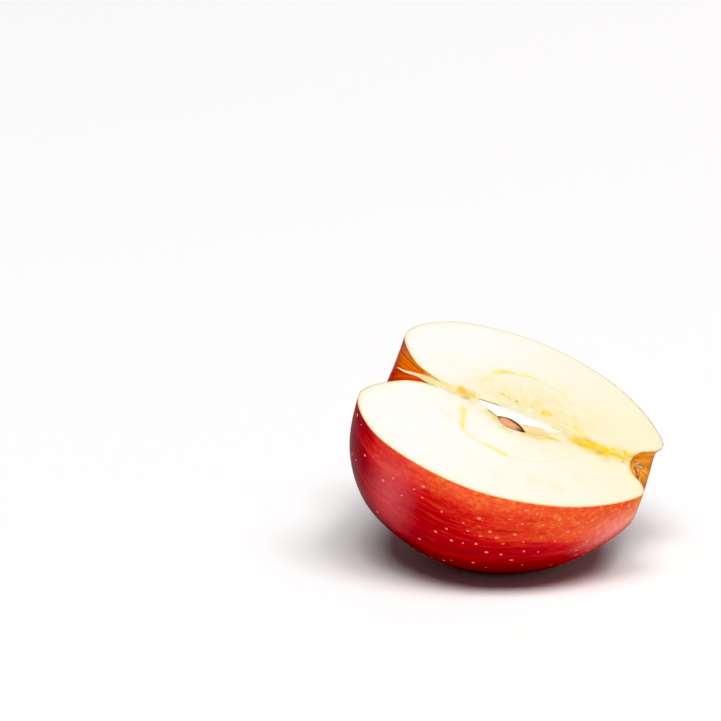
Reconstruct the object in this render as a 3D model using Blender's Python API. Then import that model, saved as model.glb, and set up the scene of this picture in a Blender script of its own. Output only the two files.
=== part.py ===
"""Half of a red apple, cut lengthwise through stalk and calyx, lying on its skin.

Metres, Z up. The origin is the middle of the half's box, on the surface that it lies on.
Each piece is drawn in the fruit's own frame: X runs along the core from stalk to calyx with the
widest section at 0, the cut face is the plane Z = 0 with the flesh below it, and -Y is the near side.
The empty "half_pose" then lays the half down.
"""

import math

import bmesh
import bpy
import numpy as np
from mathutils import Matrix, Vector

MM = 0.001

# The fruit and the way it lies
WIDTH = 78 * MM                    # of the whole fruit
RADIUS = WIDTH / 2
SLOPE = math.radians(18.5)         # the core falls towards the calyx end
ROLL = math.radians(11.0)          # the cut face leans towards the near side
REST_DEPTH = 0.8 * MM              # depth of skin pressed flat at the resting spot
CLEARANCE = 0.3 * MM               # gap between touching pieces

# Half outline of the fruit as fractions of RADIUS: along the core, out from the core
OUTLINE = (
    (-0.462, 0.000),               # floor of the stalk cavity
    (-0.680, 0.132),               # wall of the stalk cavity
    (-0.854, 0.470),               # crest round the stalk
    (-0.614, 0.849),               # shoulder
    (0.000, 1.000),                # widest section
    (0.561, 0.771),                # flank
    (0.901, 0.340),                # crest round the calyx
    (0.884, 0.236),                # lip of the calyx basin
    (0.792, 0.130),                # wall of the calyx basin
    (0.760, 0.000),                # floor of the calyx basin
)
OUTLINE_PITCH = 2.6 * MM           # length of a facet along the outline
TURN_STEPS = 40                    # facets round the half
RIBS = 5                           # one for each seed chamber
RIB_DEPTH = 0.008                  # as a fraction of the radius, at the calyx end
RIB_END = 0.87 * RADIUS            # along the core, where the ribs reach their full depth
MERGE = 0.01 * MM                  # points closer than this are one point

# Seed chamber, opened by the cut: its far and near rims on the cut face
CHAMBER_FAR = ((-8.7, 0.0), (-4.0, 0.8), (1.5, 1.8), (7.5, 1.2), (12.3, 0.6))
CHAMBER_NEAR = ((-8.7, 0.0), (-6.0, -2.4), (0.5, -4.6), (7.2, -5.4), (12.3, 0.6))
CHAMBER_DEPTH = 3.0 * MM
CHAMBER_ROUNDING = 0.7             # below 1 the trough deepens quickly from its pointed ends
CHAMBER_TIP = 0.3 * MM             # half width and depth left at the pointed ends
CHAMBER_STEPS = 16
TOOL_TOP = 1 * MM                  # how far a cutter stands out of the cut face

# Seed, sliced by the same cut
SEED_LENGTH = 7.8 * MM
SEED_WIDTH = 4.1 * MM
SEED_DEPTH = 1.6 * MM
SEED_CENTRE = (1.0 * MM, -5.3 * MM)
SEED_TURN = math.radians(-18.0)
SEED_SINK = 0.1 * MM               # below the cut face
SEED_LEAN = 0.85                   # below 1 the widest section lies nearer the blunt end
SEED_ROUNDING = 0.8                # below 1 the seed fills out quickly from its ends
SEED_TIP = 0.03                    # fraction of the width left at the ends

# Stalk, sliced lengthwise: along the core, middle, half width
STALK = (
    (-29.6, -0.4, 0.15),           # free tip in the cavity
    (-28.0, -0.8, 0.40),
    (-26.4, -0.6, 0.75),
    (-24.4, -0.2, 0.95),
    (-22.4, -0.3, 1.45),           # it enters the flesh
    (-20.4, -0.4, 1.50),
    (-16.6, -0.7, 1.15),
    (-13.6, -1.1, 1.10),
    (-10.8, -1.7, 0.40),           # inner end
)
STALK_STEPS = 18

# Dried sepals in the calyx basin
SEPAL_ANGLES = {"sepal_near": 24.0, "sepal_low": 84.0, "sepal_far": 142.0}
SEPAL_LENGTH = 3.8 * MM
SEPAL_WIDTH = 2.2 * MM
SEPAL_THICKNESS = 0.45 * MM
SEPAL_FOOT = (30.8 * MM, 1.6 * MM)  # along the core, out from the core
SEPAL_LEAN = math.radians(34.0)    # from the core, at the foot
SEPAL_CURL = math.radians(38.0)    # further turn by the tip
SEPAL_CUP = 0.30 * MM              # rise of the long edges
SEPAL_WAVE = 0.10 * MM             # height of the crumples
SEPAL_TIP = 0.12 * MM              # half width left at the tip
SEPAL_NECK = 0.4                   # fraction of the width at the foot, full by the middle
SEPAL_TAPER = 0.65                 # below 1 the sides stay full and close in near the tip
SEPAL_RIPPLES = (9.0, 2.0)         # radians of the crumple along the length, across half the width
SEPAL_ROWS = 9
SEPAL_COLUMNS = 4

SKIN_COLOUR = (0.45, 0.012, 0.014, 1.0)
FLESH_COLOUR = (0.96, 0.91, 0.68, 1.0)
STALK_COLOUR = (0.72, 0.48, 0.20, 1.0)
SEED_COLOUR = (0.42, 0.16, 0.07, 1.0)
SEPAL_COLOUR = (0.30, 0.13, 0.04, 1.0)


def clear_scene():
    """Removes whatever the scene holds at the start."""
    for thing in list(bpy.data.objects):
        bpy.data.objects.remove(thing, do_unlink=True)


def material(name, colour, roughness):
    """A plain surface of one colour."""
    surface = bpy.data.materials.new(name)
    surface.use_nodes = True
    shader = surface.node_tree.nodes["Principled BSDF"]
    shader.inputs["Base Color"].default_value = colour
    shader.inputs["Roughness"].default_value = roughness
    shader.inputs["Metallic"].default_value = 0.0
    surface.diffuse_color = colour
    return surface


def spline(points, steps):
    """A centripetal curve from the second point to the last but one; the end points only guide it."""
    points = [np.asarray(point, float) for point in points]
    curve = []
    for a, b, c, d in zip(points, points[1:], points[2:], points[3:]):
        ab, bc, cd = (math.sqrt(np.linalg.norm(q - p)) for p, q in ((a, b), (b, c), (c, d)))
        leave = (c - b) + bc * ((b - a) / ab - (c - a) / (ab + bc))
        arrive = (c - b) + bc * ((d - c) / cd - (d - b) / (bc + cd))
        for step in range(steps):
            t = step / steps
            s = 1 - t
            curve.append(
                (1 + 2 * t) * s * s * b + t * s * s * leave
                + t * t * (3 - 2 * t) * c - t * t * s * arrive
            )
    curve.append(points[-2])
    return np.array(curve)


def open_spline(points, steps=12):
    """The same curve through all the points, carried straight on past both ends."""
    points = [np.asarray(point, float) for point in points]
    return spline([2 * points[0] - points[1], *points, 2 * points[-1] - points[-2]], steps)


def resampled(curve, count):
    """The curve as count even lengths."""
    reach = np.concatenate(([0.0], np.cumsum(np.linalg.norm(np.diff(curve, axis=0), axis=1))))
    marks = np.linspace(0.0, reach[-1], count + 1)
    return np.stack([np.interp(marks, reach, curve[:, k]) for k in range(curve.shape[1])], axis=1)


def fruit_outline():
    """Half outline of the cut face, square to the core at both ends."""
    points = [RADIUS * np.array(point) for point in OUTLINE]
    mirror = np.array((1, -1))
    curve = spline([points[1] * mirror, *points, points[-2] * mirror], 24)
    length = np.linalg.norm(np.diff(curve, axis=0), axis=1).sum()
    return resampled(curve, round(length / OUTLINE_PITCH))


def pose_matrix():
    """Turns the fruit's own frame the way the half lies."""
    return Matrix.Rotation(SLOPE, 4, "Y") @ Matrix.Rotation(ROLL, 4, "X")


def add_object(name, mesh_maker, surfaces, parent, smooth_angle=35.0):
    """Turns a bmesh into a named object with sharp edges past the smooth angle."""
    mesh = bpy.data.meshes.new(name)
    mesh_maker.to_mesh(mesh)
    mesh_maker.free()
    thing = bpy.data.objects.new(name, mesh)
    for surface in surfaces:
        mesh.materials.append(surface)
    bpy.context.scene.collection.objects.link(thing)
    mesh.shade_smooth()
    mesh.set_sharp_from_angle(angle=math.radians(smooth_angle))
    thing.parent = parent
    return thing


def fruit_body():
    """The outline turned through half a circle, ribbed, pressed flat below and closed by the cut face."""
    body = bmesh.new()
    rim = [body.verts.new((along, -out, 0.0)) for along, out in fruit_outline()]
    edges = [body.edges.new(pair) for pair in zip(rim, rim[1:])]
    bmesh.ops.spin(
        body, geom=rim + edges, cent=(0, 0, 0), axis=(1, 0, 0), angle=math.pi, steps=TURN_STEPS
    )
    bmesh.ops.remove_doubles(body, verts=body.verts, dist=MERGE)
    for vert in body.verts:
        around = math.atan2(-vert.co.z, -vert.co.y)
        reach = min(max(vert.co.x / RIB_END, 0.0), 1.0)
        swell = 1 - RIB_DEPTH * reach * reach * (3 - 2 * reach) * math.sin(RIBS * around)
        vert.co.y *= swell
        vert.co.z *= swell
    down = pose_matrix().inverted().to_3x3() @ Vector((0, 0, -1))
    lowest = max(vert.co.dot(down) for vert in body.verts)
    bmesh.ops.bisect_plane(
        body, geom=body.verts[:] + body.edges[:] + body.faces[:], dist=0.001 * MM,
        plane_co=down * (lowest - REST_DEPTH), plane_no=down, clear_outer=True,
    )
    bmesh.ops.holes_fill(body, edges=[edge for edge in body.edges if edge.is_boundary], sides=0)
    bmesh.ops.recalc_face_normals(body, faces=body.faces)
    for face in body.faces:
        face.material_index = 1 if face.normal.z > 0.999 else 0
    return body


def loft(rings):
    """Closed skin over rings of the same number of points, with flat ends."""
    body = bmesh.new()
    loops = [[body.verts.new(point) for point in ring] for ring in rings]
    for ring, following in zip(loops, loops[1:]):
        for k in range(len(ring)):
            other = (k + 1) % len(ring)
            body.faces.new((ring[k], ring[other], following[other], following[k]))
    body.faces.new(loops[0])
    body.faces.new(loops[-1])
    bmesh.ops.recalc_face_normals(body, faces=body.faces)
    return body


def trough_ring(along, near, far, depth, top, steps=10):
    """One section: half an ellipse hanging from Z = 0, with straight sides up to top."""
    middle, half = (near + far) / 2, (far - near) / 2
    ring = []
    for step in range(steps + 1):
        turn = math.pi * step / steps
        ring.append((along, middle - half * math.cos(turn), -depth * math.sin(turn)))
    if top:
        ring += [(along, far, top), (along, near, top)]
    return ring


def chamber_tool():
    """The opened seed chamber, a pointed trough between its two rims."""
    far = resampled(open_spline(CHAMBER_FAR) * MM, CHAMBER_STEPS)
    near = resampled(open_spline(CHAMBER_NEAR) * MM, CHAMBER_STEPS)
    along = np.linspace(far[0][0], far[-1][0], CHAMBER_STEPS + 1)
    far_edge = np.interp(along, far[:, 0], far[:, 1])
    near_edge = np.interp(along, near[:, 0], near[:, 1])
    rings = []
    for k, x in enumerate(along):
        depth = CHAMBER_TIP + CHAMBER_DEPTH * math.sin(math.pi * k / CHAMBER_STEPS) ** CHAMBER_ROUNDING
        rings.append(trough_ring(x, near_edge[k] - CHAMBER_TIP, far_edge[k] + CHAMBER_TIP, depth, TOOL_TOP))
    return loft(rings)


def seed_rings(grow, top, steps=14):
    """Almond-shaped half seed along X about its own middle, with its flat side up."""
    length, half, depth = SEED_LENGTH + 2 * grow, SEED_WIDTH / 2 + grow, SEED_DEPTH + grow
    rings = []
    for step in range(steps + 1):
        t = step / steps
        swell = SEED_TIP + (1 - SEED_TIP) * max(math.sin(math.pi * t ** SEED_LEAN), 0.0) ** SEED_ROUNDING
        rings.append(trough_ring((t - 0.5) * length, -half * swell, half * swell, depth * swell, top))
    return rings


def stalk_rings(grow, top):
    """Half-round stalk that tapers to both ends."""
    stations = resampled(open_spline(STALK) * MM, STALK_STEPS)
    rings = []
    for k, (along, middle, half) in enumerate(stations):
        along += grow * (2 * k / STALK_STEPS - 1)
        rings.append(trough_ring(along, middle - half - grow, middle + half + grow, half + grow, top, 8))
    return rings


def cutter(name, tool, surface, parent):
    """A shape that only cuts, shown as wire."""
    thing = add_object(name, tool, surface, parent)
    thing.display_type = "WIRE"
    thing.hide_render = True
    return thing


def place_seed(thing):
    """Puts a shape drawn about the seed's middle where the seed lies."""
    thing.location = (SEED_CENTRE[0], SEED_CENTRE[1], -SEED_SINK)
    thing.rotation_euler = (0, 0, SEED_TURN)


def sepal(around):
    """Thin pointed leaf that leaves the basin floor and curls outwards."""
    leaf = bmesh.new()
    rows, columns = SEPAL_ROWS, SEPAL_COLUMNS
    along, out = SEPAL_FOOT
    points = []
    for row in range(rows + 1):
        t = row / rows
        angle = SEPAL_LEAN + SEPAL_CURL * t
        waist = SEPAL_NECK + (1 - SEPAL_NECK) * min(2 * t, 1)
        half = SEPAL_TIP + SEPAL_WIDTH / 2 * (1 - t) ** SEPAL_TAPER * waist
        for column in range(columns + 1):
            side = 2 * column / columns - 1
            ripple = math.sin(SEPAL_RIPPLES[0] * t + SEPAL_RIPPLES[1] * side)
            cup = SEPAL_CUP * side * side + SEPAL_WAVE * ripple
            rise, width = along + cup * math.sin(angle), out - cup * math.cos(angle)
            points.append(leaf.verts.new((rise, -width, half * side)))
        along += math.cos(angle) * SEPAL_LENGTH / rows
        out += math.sin(angle) * SEPAL_LENGTH / rows
    wide = columns + 1
    for row in range(rows):
        for column in range(columns):
            a = row * wide + column
            leaf.faces.new([points[k] for k in (a, a + 1, a + wide + 1, a + wide)])
    bmesh.ops.triangulate(leaf, faces=leaf.faces)
    bmesh.ops.rotate(
        leaf, verts=leaf.verts, cent=(0, 0, 0), matrix=Matrix.Rotation(math.radians(around), 3, "X")
    )
    return leaf


def cut(thing, tool):
    """Takes the tool's shape out of the thing."""
    boolean = thing.modifiers.new(tool.name, "BOOLEAN")
    boolean.operation = "DIFFERENCE"
    boolean.solver = "EXACT"
    boolean.object = tool


def lay_down(frame, body):
    """Moves the frame so that the half's box is centred on the origin and stands at Z = 0."""
    frame.matrix_world = pose_matrix()
    corners = [pose_matrix() @ vert.co for vert in body.data.vertices]
    low = [min(corner[k] for corner in corners) for k in range(3)]
    high = [max(corner[k] for corner in corners) for k in range(3)]
    frame.location = (-(low[0] + high[0]) / 2, -(low[1] + high[1]) / 2, -low[2])


def build():
    """Makes every piece and the cutters that fit them together."""
    clear_scene()
    frame = bpy.data.objects.new("half_pose", None)
    bpy.context.scene.collection.objects.link(frame)
    skin = material("skin", SKIN_COLOUR, 0.25)
    flesh = material("flesh", FLESH_COLOUR, 0.55)

    half = add_object("apple_half", fruit_body(), (skin, flesh), frame)
    lay_down(frame, half)

    seed = add_object("seed", loft(seed_rings(0.0, 0.0)), [material("seed", SEED_COLOUR, 0.35)], frame)
    place_seed(seed)
    pocket = cutter("seed_pocket", loft(seed_rings(CLEARANCE, TOOL_TOP)), (skin, flesh), frame)
    place_seed(pocket)
    chamber = cutter("chamber_shape", chamber_tool(), (skin, flesh), frame)

    bark = material("stalk", STALK_COLOUR, 0.7)
    add_object("stalk", loft(stalk_rings(0.0, 0.0)), [bark], frame)
    socket = cutter("stalk_socket", loft(stalk_rings(CLEARANCE, TOOL_TOP)), (skin, flesh), frame)
    for tool in (chamber, pocket, socket):
        for polygon in tool.data.polygons:
            polygon.material_index = 1
        cut(half, tool)

    dried = material("sepal", SEPAL_COLOUR, 0.8)
    for name, around in SEPAL_ANGLES.items():
        leaf = add_object(name, sepal(around), [dried], frame)
        thickness = leaf.modifiers.new("thickness", "SOLIDIFY")
        thickness.thickness = SEPAL_THICKNESS
        thickness.offset = 0.0


build()
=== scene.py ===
import math

import bmesh
import bpy
import numpy as np
from mathutils import Matrix, Vector, noise


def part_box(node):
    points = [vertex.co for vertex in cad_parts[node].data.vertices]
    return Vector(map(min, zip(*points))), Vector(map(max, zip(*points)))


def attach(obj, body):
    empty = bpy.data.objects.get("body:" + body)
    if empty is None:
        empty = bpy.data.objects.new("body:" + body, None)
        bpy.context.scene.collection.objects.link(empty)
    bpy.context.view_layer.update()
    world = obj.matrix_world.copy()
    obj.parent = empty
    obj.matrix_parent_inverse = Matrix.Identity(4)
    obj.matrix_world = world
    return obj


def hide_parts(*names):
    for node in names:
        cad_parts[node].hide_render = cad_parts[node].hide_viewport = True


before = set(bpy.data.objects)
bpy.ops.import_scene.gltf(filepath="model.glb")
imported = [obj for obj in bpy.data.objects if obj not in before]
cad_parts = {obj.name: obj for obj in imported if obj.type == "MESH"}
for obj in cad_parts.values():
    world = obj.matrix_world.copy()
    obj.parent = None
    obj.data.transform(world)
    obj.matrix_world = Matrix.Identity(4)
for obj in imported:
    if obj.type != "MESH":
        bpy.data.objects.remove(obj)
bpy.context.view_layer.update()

# Flesh. The pale, moist body of the fruit, sliced flat from stalk to calyx by one stroke of a knife.
# It grew round the core, so it opens into the stalk cavity and the calyx basin, and the knife has
# opened one seed chamber. In its own frame X runs along the core, Y to the far rim, Z out of the cut face.
half_low, half_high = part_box("apple_half")
BOX_WIDTH = 1.9843                  # width of the box for a fruit of radius one, rolled like this one
RADIUS = (half_high.y - half_low.y) / BOX_WIDTH
MM = RADIUS / 39
SLOPE = math.radians(18.5)
ROLL = math.radians(11.0)
REST_DEPTH = 0.8 * MM
SKIN_THICKNESS = 0.28 * MM
OUTLINE = (                         # fractions of RADIUS along the core and out from it
    (-0.462, 0.000), (-0.680, 0.132), (-0.854, 0.470), (-0.614, 0.849), (0.000, 1.000),
    (0.561, 0.771), (0.901, 0.340), (0.884, 0.236), (0.792, 0.130), (0.760, 0.000),
)
RIBS = 5                            # one for each seed chamber
RIB_DEPTH = 0.008                   # of the distance out from the core, as is DENT_DEPTH
RIB_END = 0.87                      # fraction of RADIUS along the core, where the ribs are deepest
DENT_DEPTH = 0.004
DENT_PITCH = (2.2, 1.6)             # waves of the dents for each RADIUS along the core, and round it
CALYX_DIP = 0.032                   # how far the calyx end falls back just under the far tip
DIP_START, DIP_RISE = 0.6, 0.25     # fractions of RADIUS along the core: where it begins, how soon it is full
DIP_CORE = 0.2                      # fraction of RADIUS out from the core, within which it fades
DIP_NEAR, DIP_REACH = 0.13, 0.8     # radians below the far rim over which it sets in and dies away
STATIONS = 180                      # along the outline
SKIN_COLUMNS = 150                  # round the half, from the near rim to the far rim
FLESH_COLUMNS = 24
CHAMBER_FAR = ((-8.7, 0.0), (-4.0, 0.8), (1.5, 1.8), (7.5, 1.2), (12.3, 0.6))
CHAMBER_NEAR = ((-8.7, 0.0), (-6.0, -2.4), (0.5, -4.6), (7.2, -5.4), (12.3, 0.6))
CHAMBER_DEPTH = 3.0
CHAMBER_ROUNDING = 0.7              # below 1 the trough deepens quickly from its pointed ends
CHAMBER_TIP = 0.3                   # half width and depth left at the pointed ends
TOOL_TOP = 1.0                      # how far a cutter stands out of the cut face
SEED_GAP, STALK_GAP = 0.08, 0.04    # between the flesh and what sits in it
SEED_CENTRE = (1.0, -5.3)
SEED_TURN = math.radians(-18.0)
SEED_SIZE = (7.8, 4.1, 1.6)         # length, width and depth below the cut face
SEED_SINK = 0.1                     # below the cut face
SEED_LEAN = 0.85                    # below 1 the widest section lies nearer the blunt end
SEED_ROUNDING = 0.8                 # below 1 the seed fills out quickly from its ends
SEED_TIP = 0.03                     # fraction of the width left at the ends
SEED_AXES = np.array((
    (math.cos(SEED_TURN), -math.sin(SEED_TURN)),
    (math.sin(SEED_TURN), math.cos(SEED_TURN)),
))
STALK = (                           # along the core, middle, half width
    (-29.6, -0.4, 0.15), (-28.0, -0.8, 0.40), (-26.4, -0.6, 0.75), (-24.4, -0.2, 0.95),
    (-22.4, -0.3, 1.45), (-20.4, -0.4, 1.50), (-16.6, -0.7, 1.15), (-13.6, -1.1, 1.10),
    (-10.8, -1.7, 0.40),
)


def spline(points, steps=16):
    """A centripetal curve from the second point to the last but one."""
    points = [np.asarray(point, float) for point in points]
    curve = []
    for a, b, c, d in zip(points, points[1:], points[2:], points[3:]):
        ab, bc, cd = (math.sqrt(np.linalg.norm(q - p)) for p, q in ((a, b), (b, c), (c, d)))
        leave = (c - b) + bc * ((b - a) / ab - (c - a) / (ab + bc))
        arrive = (c - b) + bc * ((d - c) / cd - (d - b) / (bc + cd))
        for step in range(steps):
            t = step / steps
            s = 1 - t
            curve.append(
                (1 + 2 * t) * s * s * b + t * s * s * leave
                + t * t * (3 - 2 * t) * c - t * t * s * arrive
            )
    curve.append(points[-2])
    return np.array(curve)


def open_spline(points, steps=16):
    """The same curve through every point."""
    points = [np.asarray(point, float) for point in points]
    return spline([2 * points[0] - points[1], *points, 2 * points[-1] - points[-2]], steps)


def resampled(curve, count):
    """The curve as count even lengths."""
    reach = np.concatenate(([0.0], np.cumsum(np.linalg.norm(np.diff(curve, axis=0), axis=1))))
    marks = np.linspace(0.0, reach[-1], count + 1)
    return np.stack([np.interp(marks, reach, curve[:, k]) for k in range(curve.shape[1])], axis=1)


def fruit_points(inset, steps):
    """Grid of points inset below the skin: rows from stalk to calyx, columns from near to far."""
    points = [RADIUS * np.array(point) for point in OUTLINE]
    mirror = np.array((1, -1))
    outline = resampled(spline([points[1] * mirror, *points, points[-2] * mirror], 40), STATIONS)
    run = np.gradient(outline, axis=0)
    run /= np.linalg.norm(run, axis=1)[:, None]
    inward = np.stack([run[:, 1], -run[:, 0]], axis=1)
    inward[0], inward[-1] = (1, 0), (-1, 0)
    outline = outline + inset * inward
    grid = np.zeros((STATIONS + 1, steps + 1, 3))
    for row, (along, out) in enumerate(outline):
        reach = min(max(along / (RIB_END * RADIUS), 0.0), 1.0)
        rib = RIB_DEPTH * reach * reach * (3 - 2 * reach)
        end = min(max((along / RADIUS - DIP_START) / DIP_RISE, 0.0), 1.0)
        end *= min(out / RADIUS / DIP_CORE, 1.0)
        for column in range(steps + 1):
            turn = math.pi * column / steps
            under = math.pi - turn
            dip = CALYX_DIP * RADIUS * end * (1 - math.exp(-((under / DIP_NEAR) ** 2)))
            dip *= math.exp(-((under / DIP_REACH) ** 2))
            around = [DENT_PITCH[1] * wave(turn) for wave in (math.cos, math.sin)]
            place = Vector((along / RADIUS * DENT_PITCH[0], *around))
            swell = 1 - rib * math.sin(RIBS * turn) + DENT_DEPTH * noise.noise(place)
            grid[row, column] = (along - dip, -out * swell * math.cos(turn), -out * swell * math.sin(turn))
    return grid


def grid_faces(rows, columns, start=0):
    """Quads over a grid of points whose rows follow each other."""
    faces = []
    for row in range(rows - 1):
        for column in range(columns - 1):
            corner = start + row * columns + column
            faces.append((corner, corner + 1, corner + columns + 1, corner + columns))
    return faces


def mesh_from(points, faces):
    """A mesh of the points and faces, with doubles merged and faces turned outwards."""
    body = bmesh.new()
    verts = [body.verts.new(point) for point in points]
    for face in faces:
        body.faces.new([verts[k] for k in face])
    bmesh.ops.remove_doubles(body, verts=body.verts, dist=0.0015 * MM)
    bmesh.ops.dissolve_degenerate(body, edges=body.edges, dist=0.0002 * MM)
    bmesh.ops.recalc_face_normals(body, faces=body.faces)
    mesh = bpy.data.meshes.new("draft")
    body.to_mesh(mesh)
    body.free()
    return mesh


def add_piece(name, mesh):
    """Links the mesh to the scene as an object."""
    piece = bpy.data.objects.new(name, mesh)
    bpy.context.scene.collection.objects.link(piece)
    return piece


def applied(piece):
    """Turns the piece's modifiers into plain mesh."""
    graph = bpy.context.evaluated_depsgraph_get()
    mesh = bpy.data.meshes.new_from_object(piece.evaluated_get(graph))
    piece.modifiers.clear()
    piece.data = mesh


def cut(piece, tool_mesh):
    """Takes a tool's shape out of the piece."""
    tool = add_piece("tool", tool_mesh)
    boolean = piece.modifiers.new("cut", "BOOLEAN")
    boolean.operation = "DIFFERENCE"
    boolean.solver = "MANIFOLD"
    boolean.object = tool
    applied(piece)
    bpy.data.objects.remove(tool)


def own_places(mesh):
    """The mesh's points as rows of an array."""
    places = np.zeros(len(mesh.vertices) * 3)
    mesh.vertices.foreach_get("co", places)
    return places.reshape(-1, 3)


def keep(mesh, name, values):
    """Stores one number or one vector for each point of the mesh."""
    values = np.asarray(values, float)
    kind, field = ("FLOAT", "value") if values.ndim == 1 else ("FLOAT_VECTOR", "vector")
    mesh.attributes.new(name, kind, "POINT").data.foreach_set(field, values.ravel())


skin_points = fruit_points(0.0, SKIN_COLUMNS)
lie = Matrix.Rotation(SLOPE, 3, "Y") @ Matrix.Rotation(ROLL, 3, "X")
turned = skin_points.reshape(-1, 3) @ np.array(lie).T
turned_low, turned_high = turned.min(axis=0), turned.max(axis=0)
core = Vector((
    (half_low.x + half_high.x - turned_low[0] - turned_high[0]) / 2,
    (half_low.y + half_high.y - turned_low[1] - turned_high[1]) / 2,
    half_low.z - turned_low[2] - REST_DEPTH,
))


def lay_down(mesh, lowest=0.0, smooth_angle=40.0):
    """Keeps each point's place in the fruit in mm, then moves the mesh to where the half lies."""
    places = own_places(mesh)
    keep(mesh, "place", places / MM)
    world = places @ np.array(lie).T + np.array(core)
    world[:, 2] = np.maximum(world[:, 2], half_low.z + lowest)
    mesh.vertices.foreach_set("co", world.ravel())
    mesh.update()
    mesh.shade_smooth()
    mesh.set_sharp_from_angle(angle=math.radians(smooth_angle))


def trough_ring(along, near, far, depth, top, steps):
    """One section: half an ellipse hanging from the cut face, with straight sides up to top."""
    middle, half = (near + far) / 2, (far - near) / 2
    turns = [math.pi * step / steps for step in range(steps + 1)]
    ring = [(along, middle - half * math.cos(turn), -depth * math.sin(turn)) for turn in turns]
    if top:
        ring += [(along, far, top), (along, near, top)]
    return ring


def loft(rings):
    """Closed mesh over rings in mm, with flat ends."""
    count = len(rings[0])
    points = [MM * np.array(point) for ring in rings for point in ring]
    faces = []
    for ring in range(len(rings) - 1):
        for k in range(count):
            other = (k + 1) % count
            a = ring * count
            faces.append((a + k, a + other, a + count + other, a + count + k))
    faces.append(tuple(range(count)))
    faces.append(tuple(range(len(points) - count, len(points))))
    return mesh_from(points, faces)


def underside(along, middle, half, depth, steps):
    """The round part of a half section, from its far edge to its near edge, without either."""
    angles = [math.pi * step / steps for step in range(1, steps)]
    return [(along, middle + half * math.cos(angle), -depth * math.sin(angle)) for angle in angles]


def chamber_rings(shrink, top, steps=24, stations=48):
    """Sections of the opened seed chamber between its rims, shrunk by a margin."""
    far, near = open_spline(CHAMBER_FAR), open_spline(CHAMBER_NEAR)
    rings = []
    first, last = CHAMBER_FAR[0][0] + shrink, CHAMBER_FAR[-1][0] - shrink
    for k, along in enumerate(np.linspace(first, last, stations + 1)):
        swell = math.sin(math.pi * k / stations) ** CHAMBER_ROUNDING
        depth = CHAMBER_TIP + CHAMBER_DEPTH * swell - shrink
        near_rim = np.interp(along, near[:, 0], near[:, 1]) - CHAMBER_TIP + shrink
        far_rim = np.interp(along, far[:, 0], far[:, 1]) + CHAMBER_TIP - shrink
        rings.append(trough_ring(along, near_rim, far_rim, depth, top, steps))
    return rings


def seed_swell(t):
    """Share of the seed's full width at a share of its length."""
    return np.sin(math.pi * t ** SEED_LEAN).clip(0.0) ** SEED_ROUNDING * (1 - SEED_TIP) + SEED_TIP


def where_seed_lies(ring):
    """Takes a ring drawn about the seed's middle to the seed's place in the fruit."""
    points = [np.array(point) for point in ring]
    return [(*(SEED_AXES @ point[:2] + SEED_CENTRE), point[2] - SEED_SINK) for point in points]


def seed_rings(grow, top, stations=30, steps=20):
    """Sections of the almond-shaped half seed, where it lies."""
    length, width, depth = SEED_SIZE
    rings = []
    for k in range(stations + 1):
        t = k / stations
        swell = seed_swell(t)
        half = (width / 2 + grow) * swell
        ring = trough_ring((t - 0.5) * (length + 2 * grow), -half, half, (depth + grow) * swell, top, steps)
        rings.append(where_seed_lies(ring))
    return rings


def stalk_rings(grow, top, stations=40, steps=16):
    """Sections of the half-round stalk."""
    path = resampled(open_spline(STALK), stations)
    rings = []
    for k, (along, middle, half) in enumerate(path):
        along += grow * (2 * k / stations - 1)
        rings.append(trough_ring(along, middle - half - grow, middle + half + grow, half + grow, top, steps))
    return rings


FACE_RINGS = 170                    # from the rim of the cut face to its middle
INNER_SHARE = 0.03                  # of the way out, inside the seed chamber
CALYX_TUBE = ((13.5, -0.4), (17.8, -0.6), (22.2, -0.8), (25.6, 0.2), (29.0, 0.9))
CORE_LINE_NEAR = (
    (-11.0, -4.8), (-9.6, -11.0), (-7.8, -16.2), (-4.0, -18.3), (1.4, -18.9), (4.7, -19.2), (9.6, -17.1),
    (14.5, -12.0), (17.5, -5.0),
)
CORE_LINE_FAR = (
    (-9.8, 5.4), (-9.9, 12.3), (-7.9, 16.5), (-3.4, 19.4), (1.5, 20.2), (6.1, 19.5), (10.7, 15.5),
    (13.8, 8.0), (17.0, 2.0),
)
FLESH_INSET = SKIN_THICKNESS + 0.01 * MM
TUBE_DEPTH, TUBE_WIDTH = 0.10, 1.8  # of the groove where the calyx tube was cut
LINE_DEPTH, LINE_WIDTH = 0.05, 0.5  # of the lines round the core
WAVE_HEIGHT, WAVE_PITCH = 0.06, 0.11
GRAIN_HEIGHT, GRAIN_PITCH = 0.018, (0.35, 0.9)
FACE_SINK = 0.02                    # of the flesh below the skin's cut edge


def distance_to(curve, places):
    """How far each place in mm is from a curve on the cut face, and how far along the curve."""
    curve = np.asarray(curve)
    best = np.full(len(places), 1e9)
    share = np.zeros(len(places))
    for k, (a, b) in enumerate(zip(curve, curve[1:])):
        step = b - a
        t = np.clip(((places - a) @ step) / max(step @ step, 1e-12), 0, 1)
        gap = np.linalg.norm(places - a - t[:, None] * step, axis=1)
        nearer = gap < best
        best = np.where(nearer, gap, best)
        share = np.where(nearer, (k + t) / (len(curve) - 1), share)
    return best, share


def bell(distance, width):
    """Soft mark: 1 at no distance, fading out over the width."""
    return np.exp(-((distance / width) ** 2))


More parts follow.
